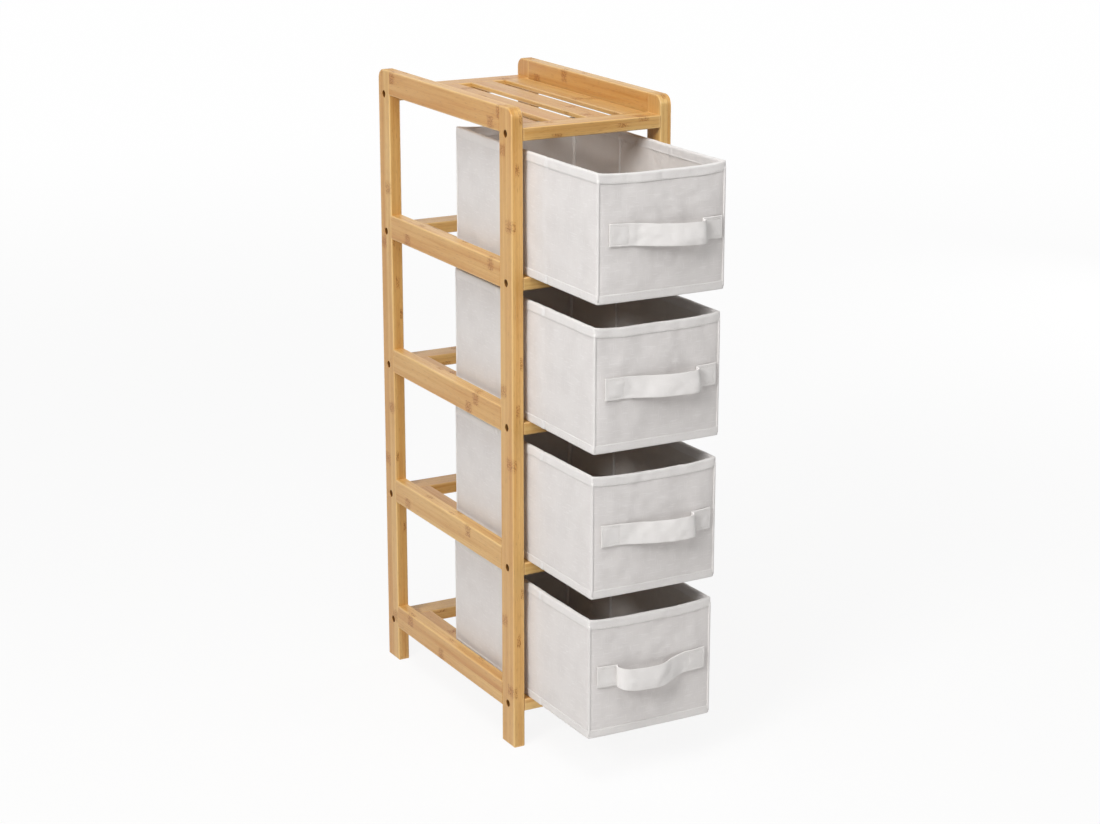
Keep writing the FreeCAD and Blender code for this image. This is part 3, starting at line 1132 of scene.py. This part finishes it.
    def panel(self, bm: bmesh.types.BMesh, size: Step, cells: tuple[int, int], place: Matrix) -> None:
        """Add one flat board to the mesh of boards.

        Args:
            bm: The mesh.
            size: The board's two lengths.
            cells: How many cells its mesh has each way.
            place: Where it goes.
        """
        made = bmesh.ops.create_grid(bm, x_segments=cells[0], y_segments=cells[1], size=0.5)["verts"]
        bmesh.ops.scale(bm, verts=made, vec=(*size, 1.0))
        bmesh.ops.transform(bm, verts=made, matrix=place)

    def boards(self, looks: DrawerLooks) -> None:
        """Build the stiff boards between cover and lining, parted at the folds.

        Args:
            looks: The drawers' materials.
        """
        bm = bmesh.new()
        deep = self.cover + self.board / 2
        tall, half = self.height - self.board_room, self.height / 2
        stand = Matrix.Rotation(QUARTER, 4, "X")
        along = Matrix.Rotation(QUARTER, 4, "Z") @ stand
        for sign in (-1, 1):
            place = Matrix.Translation((0.0, sign * (self.depth / 2 - deep), half))
            self.panel(bm, (self.width - self.end_board_room, tall), self.wall_cells, place @ stand)
            for part in (-1, 0, 1):
                place = Matrix.Translation((sign * (self.width / 2 - deep), part * self.depth / 3, half))
                self.panel(bm, (self.depth / 3 - self.fold_gap, tall), self.wall_cells, place @ along)
        base = (self.width - self.base_board_room, self.depth - self.base_board_room)
        self.panel(bm, base, self.base_cells, Matrix.Translation((0.0, 0.0, deep)))
        self.settle(bm)
        panels = new_piece(bm, f"{self.body}_board_panels", self.body, looks.board)
        thicken(panels, self.board * self.board_share, 0.0)
        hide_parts(f"{self.body}_boards")

    def edging(self, name: str, material: bpy.types.Material, level: float, steps: list[Step],
               top: bool, pucker: Dents) -> bpy.types.Object:
        """Sew a narrow cloth round the rim or the foot.

        Args:
            name: What the piece is called.
            material: Its material.
            level: Where it starts, over the drawer's foot.
            steps: How far out and how far up each of its rows goes.
            top: Whether it lies over the rim, and not under the foot.
            pucker: How far it is pulled in and out between its stitches.

        Returns:
            The piece.
        """
        bm = bmesh.new()
        self.sweep(bm, self.plan_loop(bm, -self.skim, level, self.band_cell, False), steps)
        turn_faces(bm, top, top)
        lay_weave(bm)
        self.push(bm, pucker)
        self.settle(bm)
        return new_piece(bm, f"{self.body}_{name}", self.body, material)

    def rim_band(self, looks: DrawerLooks) -> None:
        """Fold a bound band over the rim, down both sides of the wall.

        Args:
            looks: The drawers' materials.
        """
        thick = self.wall + 2 * self.band_cloth
        rows, bends, lap = self.band_rows, self.band_bends, self.band_cloth * self.band_lap
        straight = (self.band_height - self.band_curve) / rows
        turns = [math.pi * index / bends for index in range(bends + 1)]
        arc = [(thick / 2 * (math.cos(stop) - math.cos(start)),
                self.band_crown * (math.sin(stop) - math.sin(start)))
               for start, stop in zip(turns, turns[1:])]
        steps = [(self.band_cloth * self.band_start, 0.0), (lap, self.band_turn)]
        steps += [(0.0, straight)] * rows + arc + [(0.0, -straight)] * rows
        steps += [(-lap, -self.band_turn), (self.band_cloth * self.band_end, 0.0)]
        band = self.edging("bound_rim", looks.band, self.height - self.band_height, steps, True,
                           self.band_pucker)
        thicken(band, self.band_cloth * self.band_share, -1.0)
        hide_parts(f"{self.body}_rim_binding")

    def foot_hem(self, looks: DrawerLooks) -> None:
        """Turn a hem round the foot of the walls and a little way under the base.

        Args:
            looks: The drawers' materials.
        """
        rows = self.band_rows
        fall = (self.hem_height - self.hem_curve) / rows
        steps = [(self.hem_cloth, 0.0), (self.hem_cloth * self.band_lap, -self.hem_turn)]
        steps += [(0.0, -fall)] * rows + list(self.hem_under)
        hem = self.edging("foot_hem", looks.band, self.hem_height, steps, False, self.hem_pucker)

    def cords(self, name: str, material: bpy.types.Material, ways: tuple) -> None:
        """Sew raised seams up the walls, the same on the left and on the right.

        Args:
            name: What the piece is called.
            material: Its material.
            ways: Each seam's place across and along, and its half width across and along.
        """
        bm = bmesh.new()
        low, high = self.hem_height / 3, self.height - self.cord_top_room
        rise = (0.0, (high - low) / self.cord_rows)
        for x, y, half_widths in ways:
            for side in (-1, 1):
                ring = bmesh.ops.create_circle(bm, segments=self.cord_sides, radius=1.0,
                                              cap_ends=True)["verts"]
                bmesh.ops.scale(bm, verts=ring, vec=(*half_widths, 1.0))
                bmesh.ops.translate(bm, verts=ring, vec=(side * x, y, low))
                edges = list({e for v in ring for e in v.link_edges})
                last = self.sweep(bm, edges, [rise] * self.cord_rows)
                bmesh.ops.edgeloop_fill(bm, edges=last)
        bmesh.ops.recalc_face_normals(bm, faces=list(bm.faces))
        lay_weave(bm)
        self.push(bm, self.cord_wander)
        self.settle(bm)
        new_piece(bm, f"{self.body}_{name}", self.body, material)

    def seam_cords(self, looks: DrawerLooks) -> None:
        """Sew a seam up each corner, outside and inside, and a crease up each rear fold's lining.

        Args:
            looks: The drawers' materials.
        """
        long, wide, turned = self.depth / 2, self.width / 2, self.corner_cord_in
        outer, inner = wide - turned, wide - self.wall
        self.cords("seam_cords", looks.band,
                   ((outer, -long, self.corner_cord), (outer, long, self.corner_cord)))
        self.cords("lining_cords", looks.piping,
                   ((inner - turned, -long + self.wall + turned, self.lining_cord),
                    (inner - turned, long - self.wall - turned, self.lining_cord),
                    (inner - self.crease_in, self.depth / 6, self.crease)))

    def strap_line(self) -> list[Vector]:
        """Lay out the strap's middle line, from one tab's end to the other's.

        Returns:
            The line's points, as (across, out, up).
        """
        knots = [Vector((x * MM, out * MM, -drop * MM)) for x, out, drop in self.handle.value]
        rows = self.strap_rows
        left = [Vector((knots[0].x - self.tab * (1 - i / rows), self.tab_level, 0.0)) for i in range(rows)]
        right = [Vector((knots[-1].x + self.tab * (i + 1) / rows, self.tab_level, 0.0))
                 for i in range(rows)]
        return left + smooth_line(knots, self.loop_rows) + right

    def sewn_dip(self, across: float, up: float) -> float:
        """Return how far a tab's box of stitches pulls the strap in at a point of it.

        Args:
            across: The point's distance from the strap's middle.
            up: Its height over the strap's middle line.

        Returns:
            The depth of the dip.
        """
        box = max(abs(abs(across) - self.tab_place), abs(up))
        if box >= self.tab / 2 + self.tab_edge:
            return 0.0
        seam = math.exp(-((box - self.tab_reach) / self.dip_width) ** 2)
        fine = noise.noise(Vector((across * self.dip_rate, up * self.dip_rate, self.seed.y)))
        return seam * (self.dip + self.dip_noise * fine)

    def strap_point(self, place: Vector, side: float) -> Vector:
        """Work out where a point of the strap lies on the drawer.

        Args:
            place: The point of the strap's middle line beside it.
            side: How far above that line it is, across the strap.

        Returns:
            The point.
        """
        sewn = ease(place.y, *self.loose_reach)
        loose = 1 - sewn
        lean = loose * self.strap_lean
        curl = -self.strap_curl * (2 * side / self.strap_width) ** 2 * loose
        long, wide = self.wave_rates
        wave = self.strap_wave * noise.noise(Vector((place.x * long, side * wide, self.seed.x)))
        rise = self.strap_rise + place.z + side * math.cos(lean) - self.handle_tilt * place.x
        wall = self.on_wall(Vector((place.x + self.handle_shift, -self.depth / 2, rise)))
        stir = self.sewn_wave + self.loose_wave * loose
        reach = place.y - side * math.sin(lean) + curl + wave * stir
        reach = max(reach, self.strap_seat) + self.strap_lift * sewn
        return wall - BACK * (reach - sewn * self.sewn_dip(place.x, side))

    def strap(self, looks: DrawerLooks) -> None:
        """Fold the strap handle: two sewn tabs with a loop that stands off the front.

        Args:
            looks: The drawers' materials.
        """
        line = self.strap_line()
        long = sum((second - first).length for first, second in zip(line, line[1:]))
        bm = bmesh.new()
        flat = bmesh.ops.create_grid(bm, x_segments=len(line) - 1, y_segments=self.strap_rows,
                                     size=0.5)["verts"]
        bmesh.ops.scale(bm, verts=flat, vec=(long, self.strap_width, 1.0))
        lay_weave(bm)
        columns = sorted({round(v.co.x, 7) for v in flat})
        for vert in flat:
            index = min(range(len(columns)), key=lambda i: abs(columns[i] - vert.co.x))
            vert.co = self.strap_point(line[index], vert.co.y)
        bm.normal_update()
        if bm.faces[:][0].normal.y > 0:
            bmesh.ops.reverse_faces(bm, faces=list(bm.faces))
        strap = new_piece(bm, f"{self.body}_strap_handle", self.body, looks.strap)
        thicken(strap, self.strap_cloth, 0.0)
        soft = strap.modifiers.new("rolled_edges", "BEVEL")
        soft.width = self.strap_edge
        soft.segments = 2
        soft.limit_method = "ANGLE"
        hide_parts(f"{self.body}_handle")

    def thread_bead(self) -> bpy.types.Mesh:
        """Make the rounded bead of thread that every stitch repeats.

        Returns:
            The bead, of radius 1.
        """
        bm = bmesh.new()
        bmesh.ops.create_uvsphere(bm, u_segments=6, v_segments=4, radius=1.0)
        return new_mesh(bm, "thread_bead")

    def stitch(self, bm: bmesh.types.BMesh, bead: bpy.types.Mesh, at: Vector, way: Vector,
               length: float) -> None:
        """Put one stitch at a place.

        Args:
            bm: The mesh of the stitches.
            bead: The bead that is copied.
            at: Where it goes.
            way: Which way it lies.
            length: How long it is.
        """
        spin = way.to_track_quat("X", "Z").to_matrix().to_4x4()
        size = Matrix.Diagonal((length / 2, self.thread, self.thread, 1.0))
        copy = bead.copy()
        copy.transform(Matrix.Translation(at) @ spin @ size)
        bm.from_mesh(copy)
        bpy.data.meshes.remove(copy)

    def edge_stitches(self, bm: bmesh.types.BMesh, bead: bpy.types.Mesh, level: float,
                      proud: float) -> None:
        """Sew one row of stitches round all four walls.

        Args:
            bm: The mesh of the stitches.
            bead: The bead that each stitch copies.
            level: The row's height over the drawer's foot.
            proud: How far its stitches stand off the wall.
        """
        half = (self.width / 2, self.depth / 2)
        for sign in (-1, 1):
            for long, across, way in ((half[0], half[1], ACROSS), (half[1], half[0], BACK)):
                sewn = long - self.stitch_end
                count = round(2 * sewn / self.stitch_pitch)
                for index in range(count):
                    along = -long + self.stitch_end + (index + 0.5) * 2 * sewn / count
                    flat = Vector((along, sign * across, level))
                    if way is BACK:
                        flat = Vector((flat.y, flat.x, level))
                    place = self.on_wall(flat) + self.outward(flat) * proud
                    self.stitch(bm, bead, place, way, self.stitch_pitch * self.stitch_share)

    def tab_stitching(self, bm: bmesh.types.BMesh, bead: bpy.types.Mesh, centre: float) -> None:
        """Sew a box of stitches round one tab of the strap.

        Args:
            bm: The mesh of the stitches.
            bead: The bead that each stitch copies.
            centre: Where the tab's middle is, across the front.
        """
        reach = self.tab_reach
        for index in range(self.tab_stitches):
            step = ((index + 0.5) / self.tab_stitches * 2 - 1) * reach
            for x, z, way in ((step, reach, ACROSS), (step, -reach, ACROSS),
                              (reach, step, UP), (-reach, step, UP)):
                flat = Vector((centre + x + self.handle_shift, -self.depth / 2,
                               self.strap_rise + z - self.handle_tilt * (centre + x)))
                self.stitch(bm, bead, self.on_wall(flat) - BACK * self.tab_proud, way, self.tab_stitch)

    def seam_stitches(self, looks: DrawerLooks) -> None:
        """Sew round the rim band, the foot hem and both tabs.

        Args:
            looks: The drawers' materials.
        """
        bm = bmesh.new()
        bead = self.thread_bead()
        rim_row = self.height - self.band_height + self.stitch_drop
        hem_row = self.hem_height - self.stitch_drop
        self.edge_stitches(bm, bead, rim_row, self.band_cloth * self.rim_proud)
        self.edge_stitches(bm, bead, hem_row, self.hem_cloth * self.hem_proud)
        for centre in (-self.tab_place, self.tab_place):
            self.tab_stitching(bm, bead, centre)
        bpy.data.meshes.remove(bead)
        lay_weave(bm)
        new_piece(bm, f"{self.body}_stitches", self.body, looks.thread)

    def build(self, looks: DrawerLooks) -> None:
        """Build every piece of the drawer, from the boards outwards.

        Args:
            looks: The drawers' materials.
        """
        self.boards(looks)
        self.cover_and_lining(looks)
        self.seam_cords(looks)
        self.rim_band(looks)
        self.foot_hem(looks)
        self.strap(looks)
        self.seam_stitches(looks)


@dataclass
class BambooRack:
    """The rack of posts, rails and slats, with its bolts and inserts; its shapes are the CAD's."""

    strip: float = 0.0175
    bar_ply: float = 0.00584
    slat_ply: float = 0.0060
    post_tone: float = 0.04
    side_rail_tone: float = 0.12
    cross_rail_tone: float = -0.02
    slat_tone: float = 0.14

    def wear(self, node: bpy.types.Object, material: bpy.types.Material) -> None:
        """Give a carried-over CAD node its material.

        Args:
            node: The node.
            material: What it is made of.
        """
        if not node.material_slots:
            node.data.materials.append(material)
        for slot in node.material_slots:
            slot.material = material

    def dress(self, nodes: dict[str, bpy.types.Object]) -> None:
        """Give every bar its own bamboo, and the bolts and inserts their steel.

        Args:
            nodes: The CAD nodes by name.
        """
        finish = BambooFinish()
        kinds = (("post_", Grain.POST, self.bar_ply, self.post_tone),
                 ("side_rail_", Grain.SIDE_RAIL, self.bar_ply, self.side_rail_tone),
                 ("cross_rail_", Grain.CROSS_RAIL, self.bar_ply, self.cross_rail_tone),
                 ("slat_", Grain.SLAT, self.slat_ply, self.slat_tone))
        for name, node in nodes.items():
            for start, grain, ply, tone in kinds:
                if name.startswith(start):
                    lowest, highest = (Vector(point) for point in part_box(name))
                    bamboo = finish.cut_for(name, grain, lowest, highest, self.strip, ply, tone)
                    self.wear(node, bamboo)
        bolt = SteelFinish("dull_bolt_steel", (64, 57, 49), (38, 34, 30), 0.42)
        insert = SteelFinish("zinc_insert_steel", (176, 172, 160), (138, 134, 122), 0.30)
        self.wear(nodes["bolts"], bolt.made())
        self.wear(nodes["threaded_inserts"], insert.made())
        LOG.info("dressed %d carried-over nodes", len(nodes))


@dataclass(frozen=True)
class Softbox:
    """A soft square lamp: its name, place, width and watts, and whether the camera looks through it."""

    name: str
    place: Triple
    size: float
    power: float
    hidden: bool = False


@dataclass
class Studio:
    """A pale floor, soft lamps and the camera of the photograph."""

    floor_size: float = 60.0
    floor_cells: int = 8
    floor_matt: Triple = (0.86, 0.855, 0.85)
    floor_white: float = 0.89
    far_white: float = 0.995
    white_reach: Step = (0.7, 5.0)
    sky: float = 0.15
    sky_tint: Triple = (1.0, 0.995, 0.985)
    lamps: tuple[Softbox, ...] = (
        Softbox("key_softbox", (-3.8, -2.25, 3.15), 1.5, 129.0),
        Softbox("fill_softbox", (2.6, -3.9, 3.2), 2.0, 26.0),
        Softbox("top_softbox", (-1.0, -1.0, 3.6), 2.0, 66.0),
        Softbox("rear_softbox", (2.8, 1.3, 1.0), 1.4, 24.0, hidden=True))
    lamps_aim: Triple = (0.0, 0.0, 0.5)
    camera_place: Triple = (-1.6414, -2.9925, 1.4412)
    camera_turn: float = 28.651
    camera_dip: float = 16.263
    lens: float = 82.62
    sensor: float = 36.0

    def seen_share(self, n: NodeSheet) -> Socket:
        """Return 1 for what is seen, straight, in a gloss or through glass, and 0 for light.

        Args:
            n: The node sheet.

        Returns:
            The share.
        """
        path = n.node("ShaderNodeLightPath").outputs
        gloss = n.larger(path["Is Camera Ray"], path["Is Glossy Ray"])
        return n.larger(gloss, path["Is Transmission Ray"])

    def backdrop(self) -> None:
        """Make the surroundings white to look at and moderate as light."""
        world = bpy.data.worlds.new("plain_white_surroundings")
        bpy.context.scene.world = world
        n = cleared(world)
        strength = n.ramp(self.seen_share(n), 0.0, 1.0, self.sky, 1.0)
        light = n.node("ShaderNodeBackground", {"Color": (*self.sky_tint, 1.0), "Strength": strength})
        n.node("ShaderNodeOutputWorld", {"Surface": light.outputs[0]})

    def floor(self) -> None:
        """Lay the floor, which shows white but keeps the object's shadow."""
        bm = bmesh.new()
        bmesh.ops.create_grid(bm, x_segments=self.floor_cells, y_segments=self.floor_cells,
                              size=self.floor_size / 2)
        floor = put("studio_floor", new_mesh(bm, "studio_floor"))
        material = bpy.data.materials.new("pale_floor")
        n = cleared(material)
        matt = n.node("ShaderNodeBsdfDiffuse", {"Color": (*self.floor_matt, 1.0)})
        white = n.node("ShaderNodeEmission", {"Color": (1.0, 1.0, 1.0, 1.0), "Strength": 1.0})
        x, y, _ = n.split(n.node("ShaderNodeTexCoord").outputs["Object"])
        white_share = n.ramp(n.distance(x, y), *self.white_reach, self.floor_white, self.far_white)
        share = n.times(self.seen_share(n), white_share)
        mixed = n.node("ShaderNodeMixShader", {0: share, 1: matt.outputs[0], 2: white.outputs[0]})
        n.node("ShaderNodeOutputMaterial", {"Surface": mixed.outputs[0]})
        floor.data.materials.append(material)

    def hang(self, lamp: Softbox) -> None:
        """Hang one lamp so that it faces the object.

        Args:
            lamp: The lamp.
        """
        data = bpy.data.lights.new(lamp.name, "AREA")
        data.size = lamp.size
        data.energy = lamp.power
        hung = put(lamp.name, data)
        aim = Vector(self.lamps_aim) - Vector(lamp.place)
        hung.rotation_euler = aim.to_track_quat("-Z", "Y").to_euler()
        hung.location = lamp.place
        hung.visible_camera = not lamp.hidden

    def camera(self) -> None:
        """Set up the camera at the photograph's angle."""
        data = bpy.data.cameras.new("photo_camera")
        data.sensor_width = self.sensor
        data.sensor_fit = "HORIZONTAL"
        data.lens = self.lens
        camera = put("photo_camera", data)
        camera.location = self.camera_place
        camera.rotation_euler = (math.radians(90 - self.camera_dip), 0.0, -math.radians(self.camera_turn))
        bpy.context.scene.camera = camera

    def build(self) -> None:
        """Build the whole studio."""
        bpy.context.scene.view_settings.view_transform = "Standard"
        self.backdrop()
        self.floor()
        for lamp in self.lamps:
            self.hang(lamp)
        self.camera()


def main() -> None:
    """Build the studio, dress the rack and make the four drawers."""
    logging.basicConfig(level=logging.INFO, format="%(message)s")
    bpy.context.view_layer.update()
    Studio().build()
    BambooRack().dress(frame["nodes"])
    looks = DrawerLooks()
    drawers = (
        FabricDrawer(1, -0.2865, 0.67305, HandleShape.FOLDED_RIGHT, 0.0045, 0.035),
        FabricDrawer(2, -0.2795, 0.47205, HandleShape.FOLDED_RIGHT, 0.0030, 0.0),
        FabricDrawer(3, -0.2755, 0.27105, HandleShape.FOLDED_RIGHT, 0.0012, 0.0),
        FabricDrawer(4, -0.2695, 0.07005, HandleShape.FOLDED_LEFT, 0.0, 0.010),
    )
    for drawer in drawers:
        drawer.build(looks)


if __name__ == "__main__":
    main()
